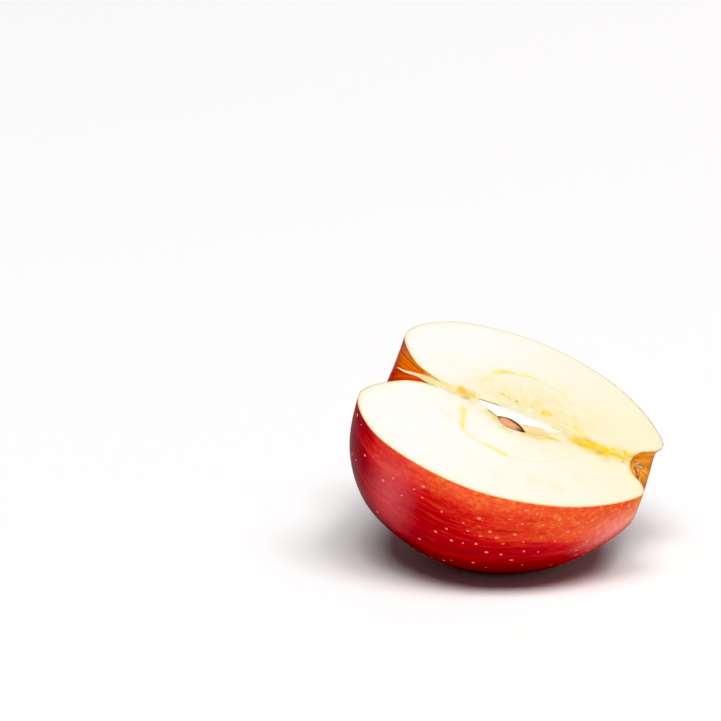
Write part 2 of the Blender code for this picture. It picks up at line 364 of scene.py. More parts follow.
wall = fruit_points(FLESH_INSET, FLESH_COLUMNS)
rim = np.concatenate([wall[:, 0], wall[-2:0:-1, -1]])
shares = np.linspace(1.0, INNER_SHARE, FACE_RINGS)
face_points = (rim[None] * shares[:, None, None]).reshape(-1, 3)
face_mm = face_points[:, :2] / MM
tube_gap, tube_share = distance_to(open_spline(CALYX_TUBE), face_mm)
near_gap, _ = distance_to(open_spline(CORE_LINE_NEAR), face_mm)
far_gap, _ = distance_to(open_spline(CORE_LINE_FAR), face_mm)
inside = np.repeat(1 - shares, len(rim))
relief = -TUBE_DEPTH * bell(tube_gap, TUBE_WIDTH) * np.clip((tube_share - 0.15) * 4, 0, 1)
relief -= LINE_DEPTH * bell(near_gap, LINE_WIDTH) + LINE_DEPTH * bell(far_gap, LINE_WIDTH)
for k, (x, y) in enumerate(face_mm):
    grain = noise.noise(Vector((x * GRAIN_PITCH[0], y * GRAIN_PITCH[1], 1.7)))
    wave = noise.noise(Vector((x * WAVE_PITCH, y * WAVE_PITCH, 0.3)))
    relief[k] += WAVE_HEIGHT * wave + GRAIN_HEIGHT * grain
relief *= np.clip(inside / 0.02, 0, 1)
face_points[:, 2] = relief * MM - FACE_SINK * MM * np.clip(inside / 0.01, 0, 1)
rim_count = len(rim)
faces = grid_faces(STATIONS + 1, FLESH_COLUMNS + 1)
start = wall.shape[0] * wall.shape[1]
for ring in range(FACE_RINGS - 1):
    for k in range(rim_count):
        a = start + ring * rim_count
        other = (k + 1) % rim_count
        faces.append((a + k, a + other, a + rim_count + other, a + rim_count + k))
last = start + (FACE_RINGS - 1) * rim_count
faces.append(tuple(range(last, last + rim_count)))
flesh = add_piece("flesh", mesh_from(np.concatenate([wall.reshape(-1, 3), face_points]), faces))
cut(flesh, loft(chamber_rings(0.0, TOOL_TOP)))
cut(flesh, loft(seed_rings(SEED_GAP, TOOL_TOP)))
cut(flesh, loft(stalk_rings(STALK_GAP, TOOL_TOP)))

SPOTS = {                           # middle, radius and strength
    "yellow": (
        (-4.7, 6.4, 1.1, 0.95), (-2.6, 5.8, 1.7, 0.55), (-7.4, 8.2, 1.5, 0.3), (2.8, 9.2, 1.6, 0.3),
        (13.5, 9.5, 1.8, 0.4), (-0.1, -8.3, 1.5, 0.5), (-4.1, -4.6, 1.1, 0.6), (-2.6, -6.2, 1.2, 0.55),
        (-9.2, 11.0, 1.5, 0.45), (9.5, 4.4, 1.6, 0.4), (7.0, 5.8, 2.2, 0.55), (7.4, 4.8, 0.8, 0.95),
        (12.6, 3.4, 2.4, 0.5), (22.5, 0.8, 1.5, 0.9), (24.7, 1.6, 1.2, 1.0), (26.8, -0.2, 1.6, 1.0),
        (27.9, 2.2, 1.4, 1.0), (-13.9, 1.5, 1.4, 0.9), (-9.8, 1.2, 1.7, 0.5), (-9.6, -2.0, 1.6, 0.4),
        (-13.0, -12.5, 1.8, 0.12), (12.0, -25.0, 2.2, 0.14), (4.0, -29.0, 1.8, 0.12),
        (17.0, -24.0, 2.0, 0.15), (21.0, -16.5, 1.8, 0.15),
    ),
    "orange": (
        (7.0, 5.9, 0.7, 0.25), (18.5, 0.9, 1.2, 0.95), (17.8, -2.0, 1.2, 0.6), (22.2, -2.0, 1.3, 1.0),
        (20.8, -3.0, 1.0, 0.45), (24.7, -4.6, 0.9, 0.3), (-12.6, 0.2, 1.9, 0.6), (-11.8, -1.3, 1.2, 0.85),
    ),
    "brown": (
        (-0.8, 5.6, 0.5, 0.6), (28.0, -2.2, 0.38, 0.95), (-11.5, -1.6, 0.7, 0.3),
    ),
}
STREAKS = {                         # from, to, width and strength
    "yellow": (
        (9.2, -4.5, 12.6, -4.4, 1.0, 0.7), (14.6, 5.0, 17.6, 0.8, 1.9, 0.4),
        (-7.9, 16.3, -5.4, 18.7, 0.8, 0.6), (-20.0, -0.3, -15.0, 0.1, 2.2, 0.55),
        (-14.0, 0.2, -10.6, 0.4, 2.5, 0.7), (-5.2, -3.8, 1.2, -8.6, 1.5, 0.6),
        (4.8, -7.4, 10.0, -5.2, 1.6, 0.45),
    ),
    "orange": (
        (-17.3, -1.9, -13.8, -1.5, 0.45, 0.55), (4.3, -6.4, 8.5, -6.2, 1.4, 0.42),
    ),
    "brown": (
        (9.6, 0.9, 12.9, 0.5, 0.4, 0.25), (-5.0, -3.1, -2.8, -4.1, 0.3, 0.75),
        (-23.2, 2.2, -20.2, 1.4, 0.3, 0.65), (-22.6, -2.1, -20.0, -1.9, 0.28, 0.6),
    ),
}
RING_SPOT = (7.0, 5.8, 1.0)         # a cut vessel: middle and radius of a yellow ring
CORE_GLOW = (3, 5, 17.0, 12.0)      # faint yellow all round the core: middle and reach
WANDER, WANDER_PITCH = 0.55, 0.35   # how far the marks stray from their places, and how often
WANDER_LEVELS = (7.1, 2.4)          # where in the noise the two directions are read
PALE_SPOTS = (                      # middle and radius
    (-3.8, 2.2, 1.3), (-0.8, 2.6, 1.3), (2.4, 3.2, 1.6), (5.6, 3.2, 1.4), (-2.2, 9.4, 1.8), (11.5, 12.0, 2.6),
    (0.9, 10.6, 2.0), (-0.5, -12.5, 3.5), (-7.0, -8.5, 2.2),
)


def stain_flesh(mesh):
    """Where the cut face is yellow, orange, brown or lined, from the places of its vessels."""
    places = own_places(mesh) / MM
    flat = places[:, :2]
    wander = np.array([
        [noise.noise(Vector((x, y, level))) for level in WANDER_LEVELS] for x, y in flat * WANDER_PITCH
    ])
    flat = flat + WANDER * wander
    tube, share = distance_to(open_spline(CALYX_TUBE), flat)
    near_line, near_part = distance_to(open_spline(CORE_LINE_NEAR), flat)
    far_line, far_part = distance_to(open_spline(CORE_LINE_FAR), flat)
    stains = {
        "yellow": bell(tube, 2.9) * np.interp(share, (0, 0.2, 0.4, 1), (0.3, 0.9, 1.0, 0.8)),
        "orange": 0.30 * bell(tube, 1.3), "brown": np.zeros(len(flat)),
    }
    stains["pale"] = np.zeros(len(flat))

    def add(stain, mark):
        """Keeps the stronger of a stain and a new mark."""
        stains[stain] = np.maximum(stains[stain], mark)

    def gap_to(x, y):
        """How far each point is from a place on the cut face."""
        return np.hypot(flat[:, 0] - x, flat[:, 1] - y)

    for stain in SPOTS:
        for x, y, radius, strength in SPOTS[stain]:
            add(stain, strength * bell(gap_to(x, y), radius))
        for x0, y0, x1, y1, width, strength in STREAKS[stain]:
            gap, _ = distance_to(np.array([(x0, y0), (x1, y1)]), flat)
            add(stain, strength * bell(gap, width))
    add("yellow", 0.95 * bell(np.abs(gap_to(*RING_SPOT[:2]) - RING_SPOT[2]), 0.5))
    glow_x, glow_y = (flat[:, 0] - CORE_GLOW[0]) / CORE_GLOW[2], (flat[:, 1] - CORE_GLOW[1]) / CORE_GLOW[3]
    add("yellow", 0.40 * bell(np.hypot(glow_x, glow_y), 1.0))
    for x, y, radius in PALE_SPOTS:
        add("pale", bell(gap_to(x, y), radius))
    near_strength = np.interp(
        near_part, (0, 0.04, 0.2, 0.26, 0.32, 0.38, 0.46, 0.58, 0.63, 0.7, 0.76, 0.85, 1),
        (0.1, 0.8, 1.0, 0.35, 0.55, 0.3, 0.8, 0.85, 0.15, 0.3, 0.05, 0.05, 0.05),
    )
    far_strength = np.interp(
        far_part, (0, 0.08, 0.15, 0.22, 0.3, 0.42, 0.5, 0.58, 0.7, 0.8, 0.9, 1),
        (0.1, 0.35, 0.15, 0.7, 0.35, 0.75, 0.3, 0.1, 0.25, 0.1, 0.3, 0.3),
    )
    stains["core_line"] = np.maximum(
        near_strength * bell(near_line, 0.75), far_strength * bell(far_line, 0.8)
    )
    on_face = np.clip(1 + places[:, 2] / 1.2, 0, 1)
    for name, strength in stains.items():
        keep(mesh, name, strength * on_face)
    own = fruit_points(SKIN_THICKNESS, 2)[:, 0][:, :2] / MM
    outline = np.concatenate([own, own[::-1] * (1, -1)])
    rim_gap, _ = distance_to(outline, flat)
    keep(mesh, "rim", bell(rim_gap, 1.3))


stain_flesh(flesh.data)
lay_down(flesh.data, FLESH_INSET)


def new_material(name):
    """An empty material with its Principled shader; returns the material, its tree and the shader."""
    surface = bpy.data.materials.new(name)
    surface.use_nodes = True
    return surface, surface.node_tree, surface.node_tree.nodes["Principled BSDF"]


def fill(tree, made, inputs):
    """Fills a node's inputs with values or links."""
    for key, value in inputs.items():
        if isinstance(value, bpy.types.NodeSocket):
            tree.links.new(value, made.inputs[key])
        else:
            made.inputs[key].default_value = value


def node(tree, kind, inputs, **options):
    """Adds a node, sets its options and fills its inputs."""
    made = tree.nodes.new(kind)
    for option, value in options.items():
        setattr(made, option, value)
    fill(tree, made, inputs)
    return made


def stored(tree, name, output="Fac"):
    """Reads a number or vector kept on the mesh."""
    return node(tree, "ShaderNodeAttribute", {}, attribute_name=name).outputs[output]


def maths(tree, operation, a, b=0.0, clamp=False):
    """One arithmetic step."""
    return node(tree, "ShaderNodeMath", {0: a, 1: b}, operation=operation, use_clamp=clamp).outputs[0]


def times(tree, a, b, clamp=False):
    """One value multiplied by another."""
    return maths(tree, "MULTIPLY", a, b, clamp)


def blend(tree, share, a, b):
    """Mixes two colours."""
    return node(tree, "ShaderNodeMix", {0: share, 6: a, 7: b}, data_type="RGBA").outputs[2]


def spread(tree, value, low, high, to_low=0.0, to_high=1.0):
    """Rescales a value and clamps it."""
    made = node(tree, "ShaderNodeMapRange", {0: value, 1: low, 2: high, 3: to_low, 4: to_high})
    return made.outputs[0]


def cloud(tree, vector, scale, detail=3.0, roughness=0.55):
    """Noise at a number of cycles for each unit of the vector."""
    made = node(tree, "ShaderNodeTexNoise", {"Vector": vector, "Scale": scale, "Detail": detail})
    made.inputs["Roughness"].default_value = roughness
    return made.outputs["Fac"]


def scaled(tree, vector, scale):
    """The vector with each axis scaled."""
    return node(tree, "ShaderNodeMapping", {"Vector": vector, "Scale": scale}).outputs[0]


def relief_of(tree, height, distance, strength):
    """Bump from a height."""
    inputs = {"Height": height, "Distance": distance, "Strength": strength}
    return node(tree, "ShaderNodeBump", inputs).outputs[0]


def dress(piece, surface):
    """Gives the whole piece one material."""
    piece.data.materials.clear()
    piece.data.materials.append(surface)


def flesh_colour(tree):
    """Cream flesh, whiter at the stalk end, with the stains of its vessels."""
    place = stored(tree, "place", "Vector")
    split = node(tree, "ShaderNodeSeparateXYZ", {0: place})
    patches = cloud(tree, place, 0.22, 2.0)
    broad = cloud(tree, place, 0.36, 2.0)
    blots = cloud(tree, place, 0.8, 3.0, 0.65)
    fibres = cloud(tree, scaled(tree, place, (0.5, 1.6, 1.6)), 1.0, 3.0)
    ripe = times(
        tree, spread(tree, split.outputs[0], -16, 32), spread(tree, split.outputs[1], -22, -6, 0.6, 1.0)
    )
    white = blend(tree, ripe, (0.87, 0.855, 0.815, 1), (0.865, 0.795, 0.56, 1))
    white = blend(tree, spread(tree, patches, 0.45, 0.7, 0.0, 0.35), white, (0.87, 0.805, 0.65, 1))
    white = blend(tree, times(tree, stored(tree, "pale"), 0.85), white, (0.88, 0.87, 0.84, 1))
    colour = blend(tree, times(tree, stored(tree, "rim"), 0.5), white, (0.875, 0.83, 0.52, 1))
    uneven = times(tree, spread(tree, blots, 0.3, 0.62, 0.7, 1.5), spread(tree, broad, 0.38, 0.6, 0.7, 1.2))
    yellow = times(tree, stored(tree, "yellow"), uneven, clamp=True)
    colour = blend(tree, yellow, colour, (0.81, 0.62, 0.03, 1))
    orange = times(tree, stored(tree, "orange"), spread(tree, fibres, 0.35, 0.6, 0.3, 1.0))
    colour = blend(tree, orange, colour, (0.79, 0.41, 0.05, 1))
    line = times(tree, stored(tree, "core_line"), spread(tree, patches, 0.3, 0.6, 0.8, 1.1), clamp=True)
    colour = blend(tree, line, colour, (0.86, 0.74, 0.15, 1))
    return blend(tree, stored(tree, "brown"), colour, (0.34, 0.20, 0.05, 1))


def flesh_material():
    """The stained flesh with a moist grain."""
    surface, tree, shader = new_material("flesh")
    place = stored(tree, "place", "Vector")
    grain = cloud(tree, place, 1.6, 4.0)
    fill(tree, shader, {
        "Base Color": flesh_colour(tree),
        "Roughness": spread(tree, grain, 0.35, 0.7, 0.32, 0.55),
        "Subsurface Weight": 0.3,
        "Subsurface Radius": (1.0, 0.8, 0.5),
        "Subsurface Scale": 0.002,
        "Specular IOR Level": 0.4,
        "Normal": relief_of(tree, grain, 0.00012, 0.6),
    })
    return surface


dress(flesh, flesh_material())
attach(flesh, "root")
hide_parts("apple_half")

# Skin. The thin waxy peel, over a quarter of a millimetre thick, that grew on the flesh and follows it down
# into the stalk cavity and the calyx basin. It is crimson, streaked from end to end, turning scarlet and
# orange partly with its own blush and partly with painted light: lighter along the near rim and towards the
# calyx, painted shade underneath and at the stalk end, painted reflections as pale pink patches on the two
# flanks and painted highlights in the calyx basin. The knife has cut its edge flush with the flesh.
skin_columns = skin_points.shape[1]
under_points = fruit_points(SKIN_THICKNESS, skin_columns - 1)
outer_faces = grid_faces(STATIONS + 1, skin_columns)
inner_start = skin_points.shape[0] * skin_columns
inner_faces = grid_faces(STATIONS + 1, skin_columns, inner_start)
edge_faces = []
for row in range(STATIONS):
    for column in (0, skin_columns - 1):
        a = row * skin_columns + column
        edge_faces.append((a, a + skin_columns, inner_start + a + skin_columns, inner_start + a))
skin_mesh = mesh_from(
    np.concatenate([skin_points.reshape(-1, 3), under_points.reshape(-1, 3)]),
    outer_faces + inner_faces + edge_faces,
)
skin = add_piece("skin", skin_mesh)
cut(skin, loft(stalk_rings(STALK_GAP, TOOL_TOP)))
skin_places = own_places(skin.data)
outline_curve = np.concatenate([skin_points[:, 0][:, :1], -skin_points[:, 0][:, 1:2]], axis=1)
_, along_share = distance_to(
    outline_curve[::3], np.stack([skin_places[:, 0], np.hypot(skin_places[:, 1], skin_places[:, 2])], axis=1)
)
keep(skin.data, "along", along_share)
keep(skin.data, "around", np.arctan2(-skin_places[:, 2], -skin_places[:, 1]))
lay_down(skin.data)


def mound(tree, value, middle, reach):
    """Soft mark: 1 at the middle, easing to 0 at the reach on both sides."""
    off = maths(tree, "ABSOLUTE", maths(tree, "SUBTRACT", value, middle))
    eased = node(tree, "ShaderNodeMapRange", {0: off, 1: reach, 2: 0.0}, interpolation_type="SMOOTHSTEP")
    return eased.outputs[0]


# The darkest red, for the painted shade underneath and at the stalk end.
SHADE_RED = (0.13, 0.001, 0.005, 1)
BLUSH_AND_PAINTED_LIGHT_REDS = (                        # share of blush and painted light where each red begins and is full
    (0.0, 0.45, (0.43, 0.007, 0.016, 1)), (0.45, 0.75, (0.72, 0.026, 0.024, 1)),
    (0.7, 1.0, (0.90, 0.105, 0.045, 1)),
)
# Pale pink patches of painted reflection of the bright table, on the left and the right flank.
PAINTED_REFLECTIONS = (                          # middle and reach along, then around, least strength and colour
    (0.395, 0.075, 0.33, 0.5, 0.6, (0.76, 0.10, 0.115, 1)),
    (0.86, 0.13, 0.5, 0.45, 0.55, (0.95, 0.36, 0.28, 1)),
)


def skin_colour(tree):
    """Crimson streaked end to end, orange at the calyx and in the hollows, with painted light, shade and
    reflections.
    """
    along, around = stored(tree, "along"), stored(tree, "around")
    place = stored(tree, "place", "Vector")
    spot = node(tree, "ShaderNodeCombineXYZ", {0: along, 1: around, 2: 0.0}).outputs[0]
    wide = cloud(tree, scaled(tree, spot, (3.0, 5.0, 1.0)), 1.0, 3.0)
    streaks = cloud(tree, scaled(tree, spot, (15.0, 32.0, 1.0)), 1.0, 4.0, 0.65)
    fine = cloud(tree, scaled(tree, spot, (36.0, 70.0, 1.0)), 1.0, 3.0, 0.6)
    mottle = cloud(tree, place, 0.75, 4.0, 0.7)
    # Painted light and shade: darker at the stalk end and below the near rim, lighter towards the calyx,
    # lifted again on the far side.
    stalk_end_painted_shade = spread(tree, along, 0.26, 0.34, 0.35, 1.0)
    calyx_end_painted_light = times(tree, spread(tree, along, 0.33, 0.75, 0.76, 1.22), stalk_end_painted_shade)
    painted_shade_below_rim = times(tree, around, spread(tree, along, 0.66, 0.80, 1.28, 0.7))
    painted_light_near_rim = maths(tree, "SUBTRACT", 1.0, painted_shade_below_rim, clamp=True)
    blush_and_painted_light = times(tree, painted_light_near_rim, calyx_end_painted_light)
    blush_and_painted_light = maths(tree, "ADD", blush_and_painted_light, spread(tree, around, 1.8, 2.9, 0.0, 0.4))
    blush_and_painted_light = maths(tree, "ADD", blush_and_painted_light, spread(tree, wide, 0.3, 0.7, -0.2, 0.2))
    colour = SHADE_RED
    for low, high, red in BLUSH_AND_PAINTED_LIGHT_REDS:
        colour = blend(tree, spread(tree, blush_and_painted_light, low, high), colour, red)
    flush = times(tree, spread(tree, streaks, 0.48, 0.68), spread(tree, blush_and_painted_light, 0.1, 0.5, 0.15, 0.45))
    colour = blend(tree, flush, colour, (0.76, 0.045, 0.022, 1))
    light_streak = times(tree, spread(tree, streaks, 0.5, 0.75), spread(tree, blush_and_painted_light, 0.4, 1.0, 0.0, 0.5))
    colour = blend(tree, light_streak, colour, (0.86, 0.17, 0.035, 1))
    dark_streak = times(tree, spread(tree, fine, 0.5, 0.68), spread(tree, blush_and_painted_light, 0.3, 0.9, 0.5, 0.32))
    colour = blend(tree, dark_streak, colour, (0.22, 0.001, 0.010, 1))
    gold = times(tree, spread(tree, mottle, 0.48, 0.68), spread(tree, blush_and_painted_light, 0.6, 1.15, 0.0, 0.85))
    colour = blend(tree, gold, colour, (0.92, 0.31, 0.055, 1))
    # Painted reflections, broken up by the mottle.
    for middle, reach, turn, width, least, pale in PAINTED_REFLECTIONS:
        reflection_patch = times(tree, mound(tree, along, middle, reach), mound(tree, around, turn, width))
        reflection_patch = times(tree, reflection_patch, spread(tree, mottle, 0.35, 0.6, least, 0.9))
        colour = blend(tree, reflection_patch, colour, pale)
    cavity = spread(tree, along, 0.22, 0.12)
    cavity_streak = cloud(tree, scaled(tree, spot, (5.0, 16.0, 1.0)), 1.0, 5.0, 0.75)
    mix = spread(tree, cavity_streak, 0.38, 0.62)
    wall = blend(tree, mix, (0.34, 0.008, 0.004, 1), (0.92, 0.13, 0.012, 1))
    outer = times(tree, spread(tree, along, 0.08, 0.17), spread(tree, cavity_streak, 0.7, 0.4, 0.6, 1.0))
    wall = blend(tree, outer, wall, (0.44, 0.012, 0.010, 1))
    high = times(tree, spread(tree, around, 2.3, 3.1), spread(tree, cavity_streak, 0.42, 0.56, 0.15, 0.95))
    wall = blend(tree, times(tree, high, spread(tree, along, 0.19, 0.13)), wall, (0.97, 0.30, 0.02, 1))
    wall = blend(tree, spread(tree, along, 0.055, 0.03), wall, (0.86, 0.70, 0.30, 1))
    colour = blend(tree, cavity, colour, wall)
    shift = spread(tree, wide, 0.3, 0.7, -0.03, 0.03)
    shift = maths(tree, "ADD", shift, spread(tree, streaks, 0.3, 0.7, -0.01, 0.01))
    basin = spread(tree, maths(tree, "ADD", along, shift), 0.84, 0.955)
    basin_streak = cloud(tree, scaled(tree, spot, (16.0, 11.0, 1.0)), 1.0, 3.0, 0.65)
    bowl = blend(tree, spread(tree, basin_streak, 0.34, 0.64), (0.80, 0.21, 0.015, 1), (0.98, 0.48, 0.04, 1))
    # Painted highlights: pinkish patches over the basin's orange.
    bowl = blend(tree, spread(tree, mottle, 0.54, 0.68, 0.0, 0.5), bowl, (0.94, 0.50, 0.26, 1))
    colour = blend(tree, basin, colour, bowl)
    level = node(tree, "ShaderNodeSeparateXYZ", {0: place}).outputs[2]
    cut_edge = spread(tree, level, -0.10, -0.02, 0.0, 0.8)
    worn = times(tree, spread(tree, along, 0.55, 0.75), spread(tree, mottle, 0.45, 0.55))
    far_edge = blend(tree, worn, (0.86, 0.78, 0.58, 1), (0.58, 0.42, 0.22, 1))
    edge = blend(tree, spread(tree, around, 1.2, 2.2), (0.86, 0.62, 0.30, 1), far_edge)
    return blend(tree, cut_edge, colour, edge)


def skin_material():
    """Waxy peel: the streaked colour under a clear gloss, with the faint pebbling of a fruit's skin."""
    surface, tree, shader = new_material("skin")
    place = stored(tree, "place", "Vector")
    pebbles = cloud(tree, place, 0.9, 3.0)
    fill(tree, shader, {
        "Base Color": skin_colour(tree),
        "Roughness": spread(tree, pebbles, 0.3, 0.7, 0.30, 0.42),
        "Specular IOR Level": 0.0,
        "Coat Weight": 0.22,
        "Coat Roughness": 0.15,
        "Coat IOR": 1.2,
        "Subsurface Weight": 0.08,
        "Subsurface Radius": (1.0, 0.25, 0.12),
        "Subsurface Scale": 0.0012,
        "Normal": relief_of(tree, pebbles, 0.0001, 0.25),
    })
    return surface


dress(skin, skin_material())
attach(skin, "root")
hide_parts("apple_half")

# Flecks. The skin's pores, pale corky dots about a millimetre across at most, seated in the peel. They lie
# closer together towards the calyx. Geometry Nodes scatter one low dome over the skin.
FLECK_GAP = 2.5 * MM
FLECK_RADIUS = 0.46 * MM
FLECK_HEIGHT = 0.09                 # of a dome, for each unit of its radius
FLECK_SIZES = (0.45, 0.40, 0.8), (1.15, 1.05, 0.8)
FLECK_CROWD = (0.45, 0.5)           # density at the core's middle, and its rise for each RADIUS along it
FLECK_ROWS = slice(38, -26, 2)      # the skin's stations between the two hollows
FLECK_COLUMNS = slice(2, -2, 2)     # clear of the two rims
FLECK_SEED = 11


def fleck_tree():
    """Scatters flattened domes over the mesh's faces, realized and given their material."""
    tree = bpy.data.node_groups.new("flecks_on_skin", "GeometryNodeTree")
    face = tree.interface
    face.new_socket("Geometry", in_out="INPUT", socket_type="NodeSocketGeometry")
    for label, kind in (("Gap", "NodeSocketFloat"), ("Radius", "NodeSocketFloat"), ("Seed", "NodeSocketInt"),
                        ("Surface", "NodeSocketMaterial")):
        face.new_socket(label, in_out="INPUT", socket_type=kind)
    face.new_socket("Geometry", in_out="OUTPUT", socket_type="NodeSocketGeometry")
    start = tree.nodes.new("NodeGroupInput")
    end = tree.nodes.new("NodeGroupOutput")
    dots = node(tree, "GeometryNodeDistributePointsOnFaces", {
        "Mesh": start.outputs["Geometry"], "Distance Min": start.outputs["Gap"],
        "Density Max": 120000.0, "Density Factor": 1.0, "Seed": start.outputs["Seed"],
    }, distribute_method="POISSON")
    crowd = node(tree, "GeometryNodeInputNamedAttribute", {"Name": "crowd"}, data_type="FLOAT")
    tree.links.new(crowd.outputs["Attribute"], dots.inputs["Density Factor"])
    dome = node(tree, "GeometryNodeMeshUVSphere", {"Segments": 10, "Rings": 6, "Radius": 1.0})
    lift = node(tree, "ShaderNodeSeparateXYZ", {0: tree.nodes.new("GeometryNodeInputPosition").outputs[0]})
    heart = node(tree, "GeometryNodeStoreNamedAttribute", {
        "Geometry": dome.outputs["Mesh"], "Name": "heart", "Value": lift.outputs["Z"],
    }, data_type="FLOAT")
    flat = node(tree, "GeometryNodeTransform", {
        "Geometry": heart.outputs["Geometry"], "Scale": (1.0, 1.0, FLECK_HEIGHT),
    })
    size = node(tree, "FunctionNodeRandomValue", {
        0: FLECK_SIZES[0], 1: FLECK_SIZES[1], "Seed": start.outputs["Seed"],
    }, data_type="FLOAT_VECTOR")
    girth = node(tree, "ShaderNodeVectorMath", {
        0: size.outputs[0], "Scale": start.outputs["Radius"],
    }, operation="SCALE")
    laid = node(tree, "GeometryNodeInstanceOnPoints", {
        "Points": dots.outputs["Points"], "Instance": flat.outputs["Geometry"],
        "Rotation": dots.outputs["Rotation"], "Scale": girth.outputs[0],
    })
    real = node(tree, "GeometryNodeRealizeInstances", {"Geometry": laid.outputs["Instances"]})
    made = node(tree, "GeometryNodeSetMaterial", {"Geometry": real.outputs["Geometry"],
                                                  "Material": start.outputs["Surface"]})
    tree.links.new(made.outputs["Geometry"], end.inputs["Geometry"])
    return tree


def set_inputs(modifier, values):
    """Sets a Geometry Nodes modifier's inputs by their sockets' identifiers."""
    for item in modifier.node_group.interface.items_tree:
        if item.item_type == "SOCKET" and item.in_out == "INPUT" and item.name in values:
            modifier[item.identifier] = values[item.name]


def fleck_material():
    """Pale cork, a little pinker at its edge."""
    surface, tree, shader = new_material("fleck")
    place = stored(tree, "place", "Vector")
    tint = spread(tree, cloud(tree, place, 0.7, 2.0), 0.35, 0.65)
    cork = blend(tree, tint, (0.95, 0.50, 0.32, 1), (0.97, 0.78, 0.60, 1))
    colour = blend(tree, spread(tree, stored(tree, "heart"), 0.15, 0.65), (0.88, 0.20, 0.09, 1), cork)
    fill(tree, shader, {
        "Base Color": colour,
        "Roughness": 0.4,
        "Coat Weight": 0.4,
        "Coat Roughness": 0.2,
    })
    return surface


fleck_ground = bpy.data.meshes.new("fleck_ground")
ground = bmesh.new()
ground_points = skin_points[FLECK_ROWS, FLECK_COLUMNS]
ground_verts = [ground.verts.new(point) for point in ground_points.reshape(-1, 3)]
for face in grid_faces(*ground_points.shape[:2]):
    ground.faces.new([ground_verts[k] for k in face[::-1]])
ground.to_mesh(fleck_ground)
ground.free()
crowd_at = own_places(fleck_ground)[:, 0] / RADIUS
keep(fleck_ground, "crowd", np.clip(FLECK_CROWD[0] + FLECK_CROWD[1] * crowd_at, 0.15, 0.95))
lay_down(fleck_ground)
flecks = add_piece("flecks", fleck_ground)
scatter = flecks.modifiers.new("scatter", "NODES")
scatter.node_group = fleck_tree()
set_inputs(scatter, {
    "Gap": FLECK_GAP, "Radius": FLECK_RADIUS, "Seed": FLECK_SEED, "Surface": fleck_material(),
})
applied(flecks)
fleck_places = own_places(flecks.data)
fleck_places[:, 2] = np.maximum(fleck_places[:, 2], half_low.z)
flecks.data.vertices.foreach_set("co", fleck_places.ravel())
flecks.data.update()
flecks.data.shade_smooth()
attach(flecks, "root")
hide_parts("apple_half")

# Lining. The tough, glossy parchment of the seed chamber, about a sixth of a millimetre thick and pearly,
# grown to the flesh on its outside. The knife has cut its edge, which shows as a thin olive line. Its deeper
# near part carries painted shade, tan and towards the stalk end cream, with a darker painted line along the
# shade's edge.
LINING = 0.16
LINING_GAP = 0.03                   # drawn in from the chamber's wall, then let down by as much
LINING_STEPS, LINING_STATIONS = 56, 110
DOWNWARD_SLANT = (-0.34, 1.78)      # mm along and across for each mm of depth


def lining_rings():
    """U-shaped sections: the outer wall down and round, then the inner wall back."""
    rings = []
    outer_wall = chamber_rings(LINING_GAP, None, LINING_STEPS, LINING_STATIONS)
    inner_wall = chamber_rings(LINING_GAP + LINING, None, LINING_STEPS, LINING_STATIONS)
    for outer, inner in zip(outer_wall, inner_wall):
        rings.append([(x, y, z - LINING_GAP) for x, y, z in outer + inner[::-1]])
    return rings


def lining_material():
    """Pearly membrane with fine ridges along it, painted shade in tan on its near side, olive at its cut
    edge.
    """
    surface, tree, shader = new_material("lining")
    place = stored(tree, "place", "Vector")
    split = node(tree, "ShaderNodeSeparateXYZ", {0: place})
    ridges = cloud(tree, scaled(tree, place, (0.3, 3.5, 3.5)), 1.0, 3.0)
    ridge = spread(tree, ridges, 0.45, 0.7, 0.0, 0.35)
    colour = blend(tree, ridge, (0.97, 0.955, 0.92, 1), (0.94, 0.90, 0.78, 1))
    # Painted shade over the deeper near part: cream towards the stalk end, tan further on, and a darker
    # painted line along its edge; cream also at the calyx end.
    colour = blend(tree, stored(tree, "cream_and_pale_shade"), colour, (0.90, 0.82, 0.56, 1))
    colour = blend(tree, stored(tree, "tan_painted_shade"), colour, (0.73, 0.58, 0.28, 1))
    colour = blend(tree, stored(tree, "shade_edge"), colour, (0.48, 0.33, 0.11, 1))
    edge = spread(tree, split.outputs[2], -0.25, -0.08)
    worn = times(tree, spread(tree, split.outputs[0], -2.5, -4.5), edge)
    near_end = spread(tree, split.outputs[0], -5.0, -6.5)
    near_end = times(tree, near_end, spread(tree, split.outputs[1], 0.0, -0.6))
    worn = times(tree, worn, maths(tree, "SUBTRACT", 1.0, near_end))
    colour = blend(tree, worn, colour, (0.36, 0.29, 0.11, 1))
    fill(tree, shader, {
        "Base Color": colour,
        "Roughness": 0.22,
        "Specular IOR Level": 0.4,
        "Normal": relief_of(tree, ridges, 0.0002, 0.5),
    })
    return surface


def shade_lining(mesh):
    """Where the wall carries painted shade, tan or cream with a dark line at its edge, traced down from above
    the near side; cream at the calyx end.
    """
    places = own_places(mesh) / MM
    across = places[:, 1] + DOWNWARD_SLANT[1] * places[:, 2]
    along = places[:, 0] + DOWNWARD_SLANT[0] * places[:, 2]
    shade_edge = np.interp(along, (-8.0, -2.7, 0.5, 4.2, 8.2, 12.0), (-1.0, -2.9, -2.3, -3.2, -1.5, -0.6))
    below = np.clip((shade_edge - across) / 0.6, 0, 1)
    keep(mesh, "tan_painted_shade", below * np.interp(along, (-3.0, 4.2, 9.0, 11.0), (0.1, 1, 1, 0.2)))
    shade_edge_strength = np.interp(along, (3.4, 4.2, 7.8, 8.8), (0, 0.8, 0.5, 0))
    keep(mesh, "shade_edge", bell(across - shade_edge + 0.3, 0.55) * shade_edge_strength)
    left = below * np.interp(along, (-8, -7, -5, -4), (1, 1, 0.6, 0))
    keep(mesh, "cream_and_pale_shade", np.maximum(left, np.interp(along, (8.0, 10.0), (0, 1))))


